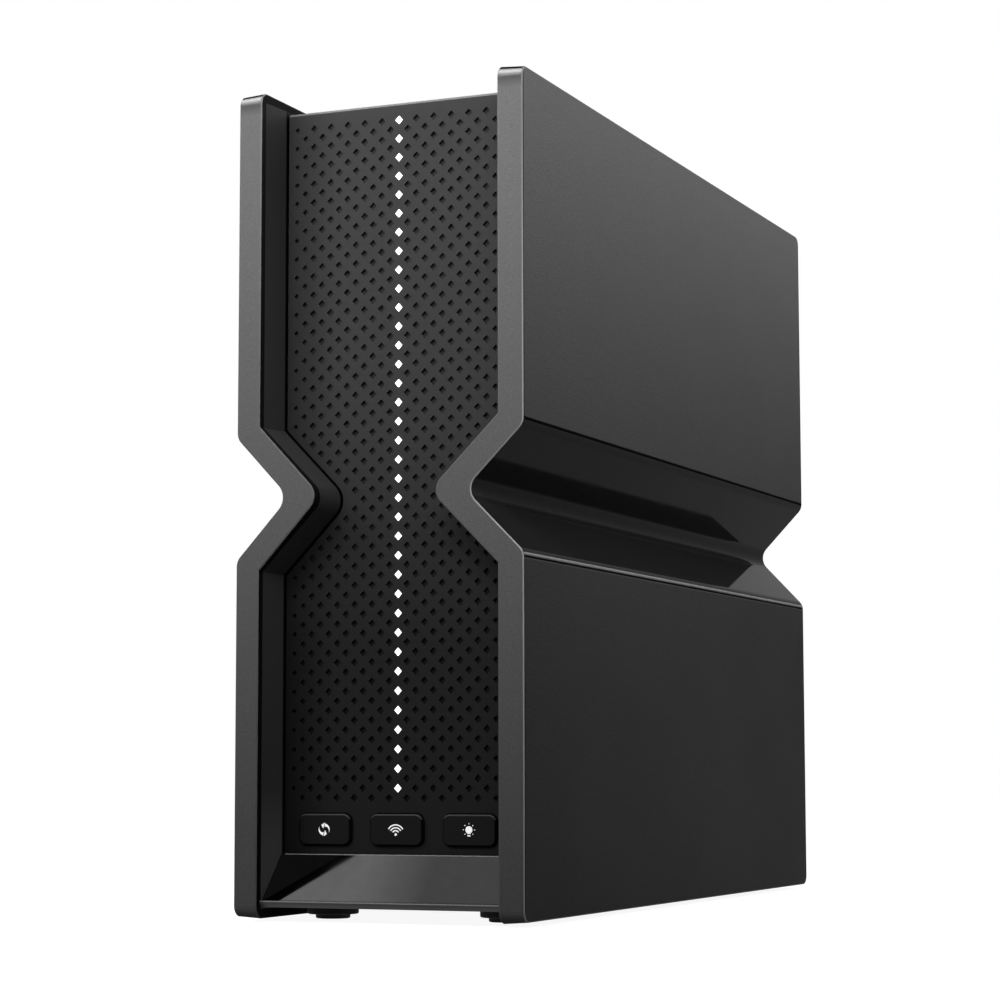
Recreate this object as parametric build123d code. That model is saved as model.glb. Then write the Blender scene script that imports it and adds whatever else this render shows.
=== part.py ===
"""Tower cable modem and wireless router with hourglass side shells and a light column.

Millimetres. X is the width, -Y the front and +Z up. The feet stand on Z = 0 and the
origin is the middle of the footprint.
"""

import os
from math import hypot, radians, tan

from build123d import *

# Overall size
overall_width = 98.0
overall_depth = 296.0
overall_height = 262.5
foot_projection = 1.0  # the feet reach this far below the side shells

# Side shells: the V groove in each side and the band seen from the front
groove_depth = 18.9
groove_half_height = 19.4
groove_apex_radius = 5.3
groove_lip_radius = 4.5
band_width = 8.2
band_draft = 3.8  # degrees that the shells' ends lean back towards their outer sides
waist_apex_radius = 5.3
shell_wall = 2.4
rim_width = 3.0
shell_corner_radius = 4.0
band_edge_chamfer = 0.35
rib_count = 5
rib_pitch = 60.0
rib_thickness = 1.6

# Gloss trim that lines each groove
trim_thickness = 1.0
trim_reveal = 0.6
trim_end_lip = 0.8
trim_bond_gap = 0.05

# Inner liners: drafted walls that close the shells and frame the front recess
liner_wall = 1.8
liner_step = 0.3  # set back from the rim at the open ends
liner_swell = 1.0  # stands proud of the rim beside the fascia
liner_fit = 0.15
liner_boss_radius = 3.5
liner_boss_span = 180.0
front_recess = 16.2
rear_recess = 14.0

# Front fascia with its lattice of dimples and the light column
fascia_drop = 4.0
fascia_wall = 2.8
fascia_reveal = 0.5
fascia_top_radius = 1.3
skirt_wall = 1.6
skirt_depth = 8.0
light_count = 36
lattice_pitch = 6.045
lattice_columns = 6
first_light_drop = 9.7
lens_diagonal = 2.7
lens_gap = 0.05
dimple_diagonal = 2.55
edge_dimple_diagonals = (1.8, 2.15)  # outermost column, then the one inside it
dimple_depth = 1.2
dimple_margin = 1.6
cutter_lead = 0.3  # a cutter starts this far outside the face that it cuts

# Light guide and light board behind the fascia
guide_width = 5.0
guide_thickness = 1.2
guide_margin = 3.0
guide_peg_radius = 1.2
light_board_width = 7.0
light_board_thickness = 1.0
emitter_size = 1.6
emitter_height = 0.7
emitter_gap = 0.3

# Sill plate and base tray
sill_rise = 19.9
sill_head_lead = 1.4  # the plate's ledge in front of the fascia
sill_foot_rise = 5.6
sill_foot_setback = 3.5
sill_thickness = 1.6
base_rise = 3.6
base_wall = 2.4
sill_root = 4.8  # from the plate's foot to where the sloped wall meets the floor
base_lip_setback = 2.0
base_lip_round = 0.35
base_undercut = 1.0
space_gap = 0.3

# Front buttons
button_pitch = 24.75
button_rise = 27.4
button_width = 17.8
button_height = 9.7
button_corner = 2.3
button_gap = 0.35
button_proud = 1.5
button_edge_radius = 0.6
button_flange_side = 1.3
button_flange_rise = 0.7
button_flange_thickness = 1.2
button_travel = 0.6
running_gap = 0.3
stem_radius = 2.0
stem_length = 1.1
switch_size = 6.0
switch_height = 3.5
plunger_radius = 1.7
plunger_height = 1.5
button_board_thickness = 1.6
button_board_overhang = 10.0
button_post_radius = 2.0
button_post_rise = 10.0

# Main board and the frame that holds it upright
board_thickness = 1.6
frame_half_width = 6.0
frame_bar = 8.0
frame_slot_depth = 2.2
frame_setback = 14.8  # front of the frame behind the fascia's face
frame_fit = 0.1

# Shield cans, thermal pads and heat sinks
can_height = 3.0
pad_thickness = 1.0
pad_margin = 2.0  # the pads stay this far inside the cans' edges
can_plan = ((-62.0, 196.0, 56.0, 48.0), (-30.0, 128.0, 60.0, 44.0), (-66.0, 66.0, 50.0, 46.0))
sink_length = 150.0
sink_start = -95.0
sink_low_rise = 38.0
sink_height = 184.0
sink_plate = 2.4
sink_fin_count = 9
sink_fin_thickness = 1.6
right_sink_reach = 16.6
left_sink_reach = 13.0
sink_post = 5.0

# Antenna boards clipped inside the liners
antenna_length = 46.0
antenna_width = 14.0
antenna_thickness = 0.8
antenna_plan = ((-74.0, 214.0), (46.0, 214.0), (-28.0, 52.0))

# Rear panel and the ports along the board's rear edge
panel_wall = 2.4
port_gap = 0.3
port_proud = 0.5
jack_count = 4
jack_pitch = 13.97
jack_block_wall = 1.5
jack_height = 13.5
jack_length = 21.3
jack_rise = 50.0
plug_width = 11.7
plug_height = 6.8
plug_depth = 13.0
latch_width = 6.0
latch_height = 1.6
coax_rise = 34.0
coax_radius = 4.76
coax_reach = 9.5
coax_nut_flats = 11.0
coax_nut_thickness = 2.0
insulator_radius = 3.4
insulator_depth = 7.0
insulator_recess = 0.6
contact_hole_radius = 0.8
tuner_length = 30.0
tuner_height = 18.0
inlet_rise = 32.0
inlet_width = 11.2
inlet_height = 11.0
inlet_length = 17.0
inlet_bore_radius = 3.15
inlet_bore_depth = 9.5
inlet_pin_radius = 1.0
inlet_pin_recess = 1.0
power_rise = 54.0
power_offset = 5.2
power_radius = 3.8
power_proud = 2.2
power_travel = 1.5
power_switch_size = 8.4
power_switch_length = 9.0
usb_rise = 76.0
usb_width = 14.4
usb_height = 6.8
usb_length = 18.0
usb_wall = 0.6
usb_depth = 12.0
usb_tongue = 1.8
reset_rise = 98.0
reset_offset = 4.0
reset_radius = 0.9
reset_hole_radius = 1.3
reset_travel = 0.5
reset_switch_length = 4.0

# Ventilation slots
slot_width = 3.2
slot_pitch = 9.0
top_slot_length = 19.0
top_slot_rows = 24
top_slot_columns = 3
top_slot_column_pitch = 24.0
rear_slot_length = 24.0
rear_slot_rows = 9
rear_slot_start = 168.0
base_slot_length = 20.0
base_slot_rows = 10
base_slot_spread = 40.0  # between the middles of the two rows

# Feet and screws
foot_spread_x = 60.0
foot_spread_y = 230.0
foot_radius = 8.2
foot_tip_radius = 5.5
foot_edge_radius = 0.5
foot_tip_height = 1.4
foot_socket = 0.8
foot_fit = 0.1
screw_head_radius = 2.8
screw_head_height = 1.4
screw_radius = 1.4
screw_length = 6.0
screw_spread = 150.0

# Derived positions
half_width = overall_width / 2
draft_slope = tan(radians(band_draft))
groove_slant = hypot(groove_depth, groove_half_height)
slant_ratio = groove_slant / groove_half_height
waist_inset = groove_depth + band_width * slant_ratio - waist_apex_radius * (slant_ratio - 1)
waist_lead = (waist_inset - band_width) * draft_slope
half_depth = overall_depth / 2 - waist_lead  # at the inner edge of the end bands
shell_bottom = foot_projection
shell_top = overall_height
waist_z = (shell_bottom + shell_top) / 2
fascia_front = front_recess - half_depth
fascia_back = fascia_front + fascia_wall
fascia_top = shell_top - fascia_drop
sill_top = shell_bottom + sill_rise
rear_face = half_depth - rear_recess
panel_inside = rear_face - panel_wall
liner_inset = band_width + liner_swell
base_bottom = shell_bottom + base_rise
base_top = base_bottom + base_wall
button_z = shell_bottom + button_rise
first_light = shell_top - first_light_drop
cover_bottom = fascia_top - panel_wall
frame_low = base_top + frame_fit
frame_high = cover_bottom - frame_fit
frame_front = fascia_front + frame_setback
frame_rear = panel_inside - frame_fit
guide_back = fascia_back + frame_fit + guide_thickness
light_board_front = guide_back + emitter_gap + emitter_height
plunger_front = (
    fascia_back + running_gap + button_flange_thickness + stem_length + button_travel + running_gap
)
button_board_front = plunger_front + plunger_height + switch_height
board_face = board_thickness / 2


def front_plane(y):
    """Sketch plane that faces the front at depth y: local x is X and local y is Z."""
    return Plane.XZ.offset(-y)


def slab(sketch, y_low, y_high):
    """Front-view sketch made solid between two depths."""
    return extrude(front_plane(y_high) * sketch, y_high - y_low)


def block(x, y, z):
    """Box from its (low, high) limits along X, Y and Z."""
    spans = (x, y, z)
    centre = [(low + high) / 2 for low, high in spans]
    return Pos(*centre) * Box(*[high - low for low, high in spans])


def rod_y(radius, x, z, y_low, y_high):
    """Round bar along Y."""
    return Pos(x, (y_low + y_high) / 2, z) * Rot(90, 0, 0) * Cylinder(radius, y_high - y_low)


def rod_z(radius, x, y, z_low, z_high):
    """Round bar along Z."""
    return Pos(x, y, (z_low + z_high) / 2) * Cylinder(radius, z_high - z_low)


def diamond(diagonal):
    """Square that stands on its corner."""
    reach = diagonal / 2
    return make_face(Polyline((reach, 0), (0, reach), (-reach, 0), (0, -reach), close=True))


def flank_points(inset, low, high):
    """Right-hand hourglass outline, moved inwards by inset, from bottom to top."""
    side = half_width - inset
    apex = half_width - groove_depth - inset * slant_ratio
    bend = groove_half_height + inset * (groove_slant - groove_half_height) / groove_depth
    return [
        (side, low),
        (side, waist_z - bend),
        (apex, waist_z),
        (side, waist_z + bend),
        (side, high),
    ]


def outer_flank(inset, low, high):
    """Outline parallel to the grooved outer side, rounded at the lips and the apex."""
    lip = groove_lip_radius - inset
    return FilletPolyline(
        *flank_points(inset, low, high), radius=[lip, groove_apex_radius + inset, lip]
    )


def inner_radius(inset):
    """Apex radius of an outline parallel to the band's inner edge."""
    return waist_apex_radius + inset - band_width


def inner_flank(inset, low, high):
    """Outline parallel to the band's inner edge: sharp bends and a round apex."""
    return FilletPolyline(*flank_points(inset, low, high), radius=[0, inner_radius(inset), 0])


def between(first, second):
    """Face between two open outlines that both run from bottom to top."""
    ends = [Line(first @ 0, second @ 0), Line(first @ 1, second @ 1)]
    return make_face([*first.edges(), *second.edges(), *ends])


def hourglass(inset, low, high):
    """Closed hourglass face, symmetric about X = 0."""
    right = flank_points(inset, low, high)
    left = [(-x, z) for x, z in reversed(right)]
    apex = inner_radius(inset)
    return make_face(
        FilletPolyline(*right, *left, radius=[0, 0, apex, 0, 0] * 2, close=True)
    )


def inner_space(gap, low, high):
    """Room between the two liners, kept gap away from them.

    It is straight from the fascia to the rear panel and flares towards both ends.
    """
    middle = hourglass(liner_inset + gap, low, high)
    mouth = hourglass(band_width - liner_step + gap, low, high)
    flares = [
        loft([front_plane(-half_depth) * mouth, front_plane(fascia_front) * middle], ruled=True),
        loft([front_plane(rear_face) * middle, front_plane(half_depth) * mouth], ruled=True),
    ]
    return slab(middle, fascia_front, rear_face) + flares


def left_of(part):
    """Mirror image of a right-hand part."""
    return mirror(part, about=Plane.YZ)


# Side shells ---------------------------------------------------------------------------


def lip_height():
    """Half-height at which the rounded groove lips meet the flat sides."""
    return groove_half_height + groove_lip_radius * (groove_slant - groove_half_height) / groove_depth


def side_envelope(inset, reach=half_width):
    """Drafted block with rounded side-view corners, moved in by inset and reach wide."""
    grow = (half_width - band_width) * draft_slope - inset
    side_view = RectangleRounded(
        2 * (half_depth + grow), shell_top - shell_bottom + 2 * grow, shell_corner_radius + grow
    )
    return extrude(Plane.YZ * Pos(0, waist_z) * side_view, reach, taper=band_draft)


def shell_blank():
    """Solid side with rounded side-view corners and a fine chamfer round its edges."""
    outline = between(
        outer_flank(0, shell_bottom, shell_top), inner_flank(band_width, shell_bottom, shell_top)
    )
    blank = slab(outline, -overall_depth, overall_depth) & side_envelope(0)
    border = [edge for edge in blank.edges() if on_border(edge)]
    return chamfer(border, band_edge_chamfer)


def on_border(edge):
    """True for the edges that run round the shell's side-view outline."""
    centre = edge.center()
    reach = shell_corner_radius
    near_end = abs(centre.Y) > half_depth - reach
    near_top = abs(centre.Z - waist_z) > (shell_top - shell_bottom) / 2 - reach
    straight_across = 0.9
    return (near_end or near_top) and abs((edge % 0.5).X) < straight_across


def shell_bays():
    """Hollows behind the shell's wall: one open tray and the bays between its ribs."""
    low = shell_bottom + rim_width
    high = shell_top - rim_width
    end = half_depth - rim_width
    past = inner_flank(liner_inset + rim_width, low, high)
    rib_inset = liner_inset - liner_wall - liner_fit
    tray = slab(between(inner_flank(rib_inset, low, high), past), -end, end)
    bay_face = between(outer_flank(shell_wall, low, high), past)
    first_rib = -rib_pitch * (rib_count - 1) / 2
    ribs = [first_rib + index * rib_pitch for index in range(rib_count)]
    starts = [-end] + [rib + rib_thickness / 2 for rib in ribs]
    stops = [rib - rib_thickness / 2 for rib in ribs] + [end]
    return [tray] + [slab(bay_face, start, stop) for start, stop in zip(starts, stops)]


def trim_seat():
    """Shallow seat for the gloss trim in the groove's outer face."""
    depth = trim_thickness + trim_bond_gap
    face = between(
        outer_flank(-rim_width, shell_bottom, shell_top), outer_flank(depth, shell_bottom, shell_top)
    )
    reach = lip_height()
    past = half_width + rim_width
    window = block((0, past), (-overall_depth, overall_depth), (waist_z - reach, waist_z + reach))
    return slab(face, -overall_depth, overall_depth) & window & side_envelope(trim_end_lip, past)


def side_shell():
    """Right-hand moulded shell: grooved wall, end bands and ribs, open towards the middle."""
    return shell_blank() - shell_bays() - trim_seat()


def groove_trim():
    """Gloss skin that lines the right-hand groove between its two lips."""
    face = between(
        outer_flank(0, shell_bottom, shell_top), outer_flank(trim_thickness, shell_bottom, shell_top)
    )
    reach = lip_height() - trim_reveal
    window = block((0, half_width), (-overall_depth, overall_depth), (waist_z - reach, waist_z + reach))
    ends = side_envelope(trim_end_lip + trim_bond_gap)
    return slab(face, -overall_depth, overall_depth) & window & ends


def inner_liner():
    """Right-hand liner: drafted wall of even thickness with bosses that reach the frame."""
    low = shell_bottom + rim_width + liner_fit
    high = shell_top - rim_width - liner_fit
    end = half_depth - rim_width - liner_fit
    wall = inner_space(-liner_wall, low, high) - inner_space(0, low, high)
    liner = wall & block((0, half_width), (-end, end), (low, high))
    boss_x = (frame_half_width + frame_fit, half_width - liner_inset + liner_wall / 2)
    length = boss_x[1] - boss_x[0]
    boss = Rot(0, 90, 0) * Cylinder(liner_boss_radius, length)
    for y in (-liner_boss_span / 2, liner_boss_span / 2):
        for z in (frame_low + frame_bar / 2, frame_high - frame_bar / 2):
            liner += Pos(sum(boss_x) / 2, y, z) * boss
    return liner


# Front fascia --------------------------------------------------------------------------


def light_heights():
    """Heights of the lights, from the top down."""
    return [first_light - index * lattice_pitch for index in range(light_count)]


def fascia_half_width(z):
    """Half-width of the fascia's edge at height z."""
    side, low_bend, apex = flank_points(liner_inset + fascia_reveal, 0, 0)[:3]
    bend_rise = waist_z - low_bend[1]
    share = min(abs(z - waist_z) / bend_rise, 1)
    return apex[0] + share * (side[0] - apex[0])


def dimple_spots():
    """(x, z, diagonal) of every dimple: two lattices, half a pitch apart both ways."""
    outer = lattice_pitch * lattice_columns
    spots = []
    for z in light_heights():
        rows = (
            [(lattice_pitch * (column + 1), z) for column in range(lattice_columns)]
            + [(lattice_pitch * (column + 0.5), z - lattice_pitch / 2) for column in range(lattice_columns)]
        )
        for x, height in rows:
            room = fascia_half_width(height) - x
            if room < dimple_margin:
                continue
            steps_in = round((outer - x) / (lattice_pitch / 2))
            diagonal = dimple_diagonal
            if steps_in < len(edge_dimple_diagonals):
                diagonal = edge_dimple_diagonals[steps_in]
            spots += [(x, height, diagonal), (-x, height, diagonal)]
    return spots


def dimple_tool(diagonal):
    """Four-sided pit that narrows to a point, started just proud of the fascia."""
    mouth = diagonal * (1 + cutter_lead / dimple_depth)
    return loft([front_plane(-cutter_lead) * diamond(mouth), Vertex(0, dimple_depth, 0)])


def button_centres():
    """X of the three front buttons."""
    return [-button_pitch, 0, button_pitch]


def front_fascia():
    """Hourglass cover: dimpled face, light windows, button openings and a return skirt."""
    inset = liner_inset + fascia_reveal
    plate = slab(hourglass(inset, sill_top, fascia_top), fascia_front, fascia_front + skirt_depth)
    hollow = hourglass(inset + skirt_wall, sill_top + skirt_wall, fascia_top - skirt_wall)
    fascia = plate - slab(hollow, fascia_back, fascia_front + skirt_depth)
    front_top = fascia.edges().filter_by(Axis.X).group_by(Axis.Y)[0].sort_by(Axis.Z)[-1]
    fascia = fillet(front_top, fascia_top_radius)
    opening = RectangleRounded(
        button_width + 2 * button_gap, button_height + 2 * button_gap, button_corner + button_gap
    )
    window = diamond(lens_diagonal + 2 * lens_gap)
    cuts = [slab(Pos(x, button_z) * opening, fascia_front, fascia_back) for x in button_centres()]
    cuts += [slab(Pos(0, z) * window, fascia_front, fascia_back) for z in light_heights()]
    tools = {size: dimple_tool(size) for size in (*edge_dimple_diagonals, dimple_diagonal)}
    cuts += [Pos(x, fascia_front, z) * tools[size] for x, z, size in dimple_spots()]
    fascia -= cuts
    for x in (-button_pitch / 2, button_pitch / 2):
        fascia += rod_y(
            button_post_radius, x, button_z + button_post_rise, fascia_back, button_board_front
        )
    return fascia


def light_guide():
    """Clear strip behind the fascia with one square lens in each window."""
    heights = light_heights()
    half = guide_width / 2
    start = fascia_back + frame_fit
    guide = block(
        (-half, half), (start, guide_back), (heights[-1] - guide_margin, heights[0] + guide_margin)
    )
    lens = diamond(lens_diagonal)
    guide += [slab(Pos(0, z) * lens, fascia_front, start) for z in heights]
    for z in guide_peg_heights():
        guide += rod_y(guide_peg_radius, 0, z, guide_back, light_board_front)
    return guide


def guide_peg_heights():
    """Heights of the pegs that hold the light board off the guide, between the lights."""
    heights = light_heights()
    pairs = (1, light_count // 2, light_count - 1)
    return [(heights[index - 1] + heights[index]) / 2 for index in pairs]


def light_board():
    """Narrow board behind the light guide."""
    heights = light_heights()
    half = light_board_width / 2
    back = light_board_front + light_board_thickness
    limits = (heights[-1] - guide_margin, heights[0] + guide_margin)
    return block((-half, half), (light_board_front, back), limits)


def light_emitters():
    """One light-emitting chip behind each lens."""
    half = emitter_size / 2
    depth = (light_board_front - emitter_height, light_board_front)
    return [block((-half, half), depth, (z - half, z + half)) for z in light_heights()]


# Sill plate and base tray ----------------------------------------------------------------


def sill_point(share, depth):
    """(y, z) on the sill's slope: share runs from its foot to its top, depth is behind it."""
    foot = (sill_foot_setback - half_depth, shell_bottom + sill_foot_rise)
    run = (fascia_front - sill_head_lead - foot[0], sill_top - frame_fit - foot[1])
    length = hypot(*run)
    inward = (run[1] / length, -run[0] / length)
    return foot[0] + share * run[0] + depth * inward[0], foot[1] + share * run[1] + depth * inward[1]


def across(points):
    """Side-view (y, z) outline made solid from one side of the part to the other."""
    face = make_face(Polyline(*points, close=True))
    return extrude(Plane.YZ * face, half_width, both=True)


def sill_plate():
    """Plain gloss plate that slopes from the front lip to a level ledge under the fascia."""
    low, head = sill_point(0, 0)[1], sill_point(1, 0)[1]
    level = 1 + (head - sill_point(1, sill_thickness)[1]) / (head - low)
    section = [
        sill_point(0, 0),
        sill_point(1, 0),
        sill_point(level, sill_thickness),
        sill_point(0, sill_thickness),
    ]
    return across(section) & inner_space(liner_fit, shell_bottom, shell_top)


def base_tray():
    """Bottom cover: floor, rounded front lip and the sloped wall that backs the sill plate."""
    lip_front = base_lip_setback - half_depth
    behind = sill_thickness + frame_fit
    floor_meets = sill_point(0, 0)[0] + sill_root
    section = [
        (lip_front, base_bottom + base_undercut),
        (lip_front, shell_bottom + sill_foot_rise),
        (sill_point(0, 0)[0] - frame_fit, shell_bottom + sill_foot_rise),
        sill_point(0, behind),
        sill_point(1, behind),
        sill_point(1, behind + base_wall),
        (floor_meets, base_top),
        (rear_face, base_top),
        (rear_face, base_bottom),
        (lip_front + base_undercut, base_bottom),
    ]
    tray = across(section)
    nose = tray.edges().filter_by(Axis.X).group_by(Axis.Y)[0]
    tray = fillet(nose, base_lip_round) & inner_space(space_gap, base_bottom, shell_top)
    tray -= [foot_socket_cut(x, y) for x, y in foot_spots()]
    tray -= base_slots()
    tray -= [
        rod_z(screw_head_radius + foot_fit, 0, y, base_bottom, base_bottom + screw_head_height)
        + rod_z(screw_radius + foot_fit, 0, y, base_bottom, base_top)
        for y in screw_spots()
    ]
    return tray


def foot_spots():
    """Plan positions of the four feet."""
    x, y = foot_spread_x / 2, foot_spread_y / 2
    return [(-x, -y), (-x, y), (x, -y), (x, y)]


def foot_socket_cut(x, y):
    """Shallow round socket for a foot in the base's underside."""
    return rod_z(foot_radius + foot_fit, x, y, base_bottom, base_bottom + foot_socket)


def base_slots():
    """Two rows of air inlet slots in the floor."""
    slots = []
    first = -slot_pitch * (base_slot_rows - 1) / 2
    for side in (-1, 1):
        for index in range(base_slot_rows):
            x = side * base_slot_spread / 2
            y = first + index * slot_pitch
            slots.append(
                block(
                    (x - base_slot_length / 2, x + base_slot_length / 2),
                    (y - slot_width / 2, y + slot_width / 2),
                    (base_bottom, base_top),
                )
            )
    return slots


def rubber_feet():
    """Four stepped round feet with soft lower edges."""
    disc = rod_z(foot_radius, 0, 0, foot_tip_height, base_bottom + foot_socket)
    tip = rod_z(foot_tip_radius, 0, 0, 0, foot_tip_height)
    foot = soft_foot(disc) + soft_foot(tip)
    return [Pos(x, y) * foot for x, y in foot_spots()]


def soft_foot(disc):
    """One tier of a foot with its lower rim rounded."""
    return fillet(disc.edges().group_by(Axis.Z)[0], foot_edge_radius)


def screw_spots():
    """Depths of the two screws that hold the base to the frame."""
    return (-screw_spread / 2, screw_spread / 2)


def base_screws():
    """Screws up through the base into the frame's lower bar."""
    top = base_bottom + screw_head_height
    screws = []
    for y in screw_spots():
        head = rod_z(screw_head_radius, 0, y, base_bottom, top)
        screws.append(head + rod_z(screw_radius, 0, y, top, top + screw_length))
    return screws


# Top cover and rear panel ----------------------------------------------------------------


def top_vent_cover():
    """Slotted lid between the liners, flush with the fascia's top."""
    inset = liner_inset + space_gap
    start = fascia_front + skirt_depth + space_gap
    half = half_width - inset
    cover = block((-half, half), (start, rear_face), (cover_bottom, fascia_top))
    first_x = -top_slot_column_pitch * (top_slot_columns - 1) / 2
    middle = (start + rear_face) / 2
    first_y = middle - slot_pitch * (top_slot_rows - 1) / 2
    slots = []
    for column in range(top_slot_columns):
        for row in range(top_slot_rows):
            x = first_x + column * top_slot_column_pitch
            y = first_y + row * slot_pitch
            slots.append(
                block(
                    (x - top_slot_length / 2, x + top_slot_length / 2),
                    (y - slot_width / 2, y + slot_width / 2),
                    (cover_bottom, fascia_top),
                )
            )
    return cover - slots


def port_column(rise):
    """Height of a rear feature above the floor the product stands on."""
    return shell_bottom + rise


def jack_block_limits():
    """(low, high) limits along X and Z of the row of network jacks."""
    low = port_column(jack_rise)
    high = low + jack_count * jack_pitch + jack_block_wall
    return (board_face, board_face + jack_height), (low, high)


def inlet_limits():
    """(low, high) limits along X and Z of the power inlet."""
    z = port_column(inlet_rise)
    return (-board_face - inlet_width, -board_face), (z - inlet_height / 2, z + inlet_height / 2)


def usb_limits():
    """(low, high) limits along X and Z of the USB port."""
    z = port_column(usb_rise)
    return (-board_face - usb_height, -board_face), (z - usb_width / 2, z + usb_width / 2)


def grown(limits, gap):
    """(low, high) limits moved out by gap."""
    return limits[0] - gap, limits[1] + gap


def coax_axis():
    """X and Z of the coaxial connector."""
    return board_face + tuner_height / 2, port_column(coax_rise)


def power_axis():
    """X and Z of the power button."""
    return -board_face - power_offset, port_column(power_rise)


def reset_axis():
    """X and Z of the reset pin."""
    return -board_face - reset_offset, port_column(reset_rise)


def rear_panel():
    """Hourglass rear wall with port openings and a field of slots."""
    inset = liner_inset + space_gap
    low = base_top + frame_fit
    high = cover_bottom - frame_fit
    depth = (panel_inside, rear_face)
    panel = slab(hourglass(inset, low, high), *depth)
    cuts = []
    for x, z in (jack_block_limits(), inlet_limits(), usb_limits()):
        cuts.append(block(grown(x, port_gap), depth, grown(z, port_gap)))
    cuts.append(rod_y(coax_radius + port_gap, *coax_axis(), *depth))
    cuts.append(rod_y(power_radius + port_gap, *power_axis(), *depth))
    cuts.append(rod_y(reset_hole_radius, *reset_axis(), *depth))
    for side in (-1, 1):
        for row in range(rear_slot_rows):
            x = side * (frame_half_width + slot_width + rear_slot_length / 2)
            z = rear_slot_start + row * slot_pitch
            width = (x - rear_slot_length / 2, x + rear_slot_length / 2)
            cuts.append(block(width, depth, (z - slot_width / 2, z + slot_width / 2)))
    for z in panel_screw_heights():
        cuts.append(rod_y(screw_radius + foot_fit, 0, z, *depth))
        cuts.append(
            rod_y(screw_head_radius + foot_fit, 0, z, rear_face - screw_head_height, rear_face)
        )
    return panel - cuts


def panel_screw_heights():
    """Heights of the two screws that hold the rear panel to the frame."""
    return (frame_low + frame_bar / 2, frame_high - frame_bar / 2)


def rear_screws():
    """Screws through the rear panel into the ends of the frame's bars."""
    start = rear_face - screw_head_height
    screws = []
    for z in panel_screw_heights():
        head = rod_y(screw_head_radius, 0, z, start, rear_face)
        screws.append(head + rod_y(screw_radius, 0, z, start - screw_length, start))
    return screws


# Frame, board and cooling ----------------------------------------------------------------


def board_limits():
    """(low, high) limits along Y and Z of the main board."""
    front = frame_front + frame_bar - frame_slot_depth + frame_fit
    low = frame_low + frame_bar - frame_slot_depth + frame_fit
    high = frame_high - frame_bar + frame_slot_depth - frame_fit
    return (front, frame_rear - frame_bar / 2), (low, high)


def board_frame():
    """C-shaped upright frame, open at the rear, with a slot that grips the board's edges."""
    bar = block(
        (-frame_half_width, frame_half_width), (frame_front, frame_rear), (frame_low, frame_high)
    )
    middle = block(
        (-frame_half_width, frame_half_width),
        (frame_front + frame_bar, frame_rear),
        (frame_low + frame_bar, frame_high - frame_bar),
    )
    depth, height = board_limits()
    slot_half = board_face + frame_fit
    slot = block(
        (-slot_half, slot_half), (depth[0] - frame_fit, frame_rear), grown(height, frame_fit)
    )
    frame = bar - middle - slot
    pilot = screw_radius + trim_bond_gap
    top = base_bottom + screw_head_height + screw_length
    frame -= [rod_z(pilot, 0, y, frame_low, top + frame_fit) for y in screw_spots()]
    start = rear_face - screw_head_height - screw_length - frame_fit
    return frame - [rod_y(pilot, 0, z, start, frame_rear) for z in panel_screw_heights()]


def main_board():
    """Upright circuit board."""
    depth, height = board_limits()
    return block((-board_face, board_face), depth, height)


def shield_cans():
    """Pressed shield cans over the chips on the board's right face."""
    reach = (board_face, board_face + can_height)
    return [can_box(plan, reach) for plan in can_plan]


def can_box(plan, reach):
    """Box over one chip, from its plan (y, rise, length, height) and its X limits."""
    y, rise, length, height = plan
    z = shell_bottom + rise
    return block(reach, (y - length / 2, y + length / 2), (z - height / 2, z + height / 2))


def thermal_pads():
    """Soft pads between the cans and the right heat sink."""
    start = board_face + can_height
    reach = (start, start + pad_thickness)
    shrink = 2 * pad_margin
    plans = [(y, rise, length - shrink, height - shrink) for y, rise, length, height in can_plan]
    return [can_box(plan, reach) for plan in plans]


def heat_sink(standoff, reach):
    """Finned plate beside the board, on four posts."""
    low = shell_bottom + sink_low_rise
    depth = (sink_start, sink_start + sink_length)
    height = (low, low + sink_height)
    face = board_face + standoff
    sink = block((face, face + sink_plate), depth, height)
    step = (sink_length - sink_fin_thickness) / (sink_fin_count - 1)
    for index in range(sink_fin_count):
        y = depth[0] + index * step
        sink += block((face, reach), (y, y + sink_fin_thickness), height)
    for y in (depth[0], depth[1] - sink_post):
        for z in (height[0], height[1] - sink_post):
            sink += block((board_face, face), (y, y + sink_post), (z, z + sink_post))
    return sink


def antenna_boards():
    """Three small antenna boards clipped to each liner."""
    face = half_width - liner_inset - space_gap
    boards = []
    for y, rise in antenna_plan:
        z = shell_bottom + rise
        depth = (y - antenna_length / 2, y + antenna_length / 2)
        height = (z - antenna_width / 2, z + antenna_width / 2)
        boards.append(block((face - antenna_thickness, face), depth, height))
    return boards + [left_of(board) for board in boards]


# Rear ports ------------------------------------------------------------------------------


def ethernet_jacks():
    """One shielded block of network jacks, each open to the rear with a latch notch."""
    x, z = jack_block_limits()
    mouth = rear_face + port_proud
    jacks = block(x, (mouth - jack_length, mouth), z)
    middle = sum(x) / 2
    depth = (mouth - plug_depth, mouth)
    for index in range(jack_count):
        centre = z[0] + jack_block_wall / 2 + (index + 0.5) * jack_pitch
        left = middle - (plug_height + latch_height) / 2
        width = (centre - plug_width / 2, centre + plug_width / 2)
        latch = (centre - latch_width / 2, centre + latch_width / 2)
        jacks -= block((left, left + plug_height), depth, width)
        jacks -= block((left + plug_height, left + plug_height + latch_height), depth, latch)
    return jacks


def tuner_can():
    """Shielded tuner box that the coaxial connector is soldered to."""
    x, z = coax_axis()
    half = tuner_height / 2
    rear = panel_inside - frame_fit
    return block((board_face, x + half), (rear - tuner_length, rear), (z - half, z + half))


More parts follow.
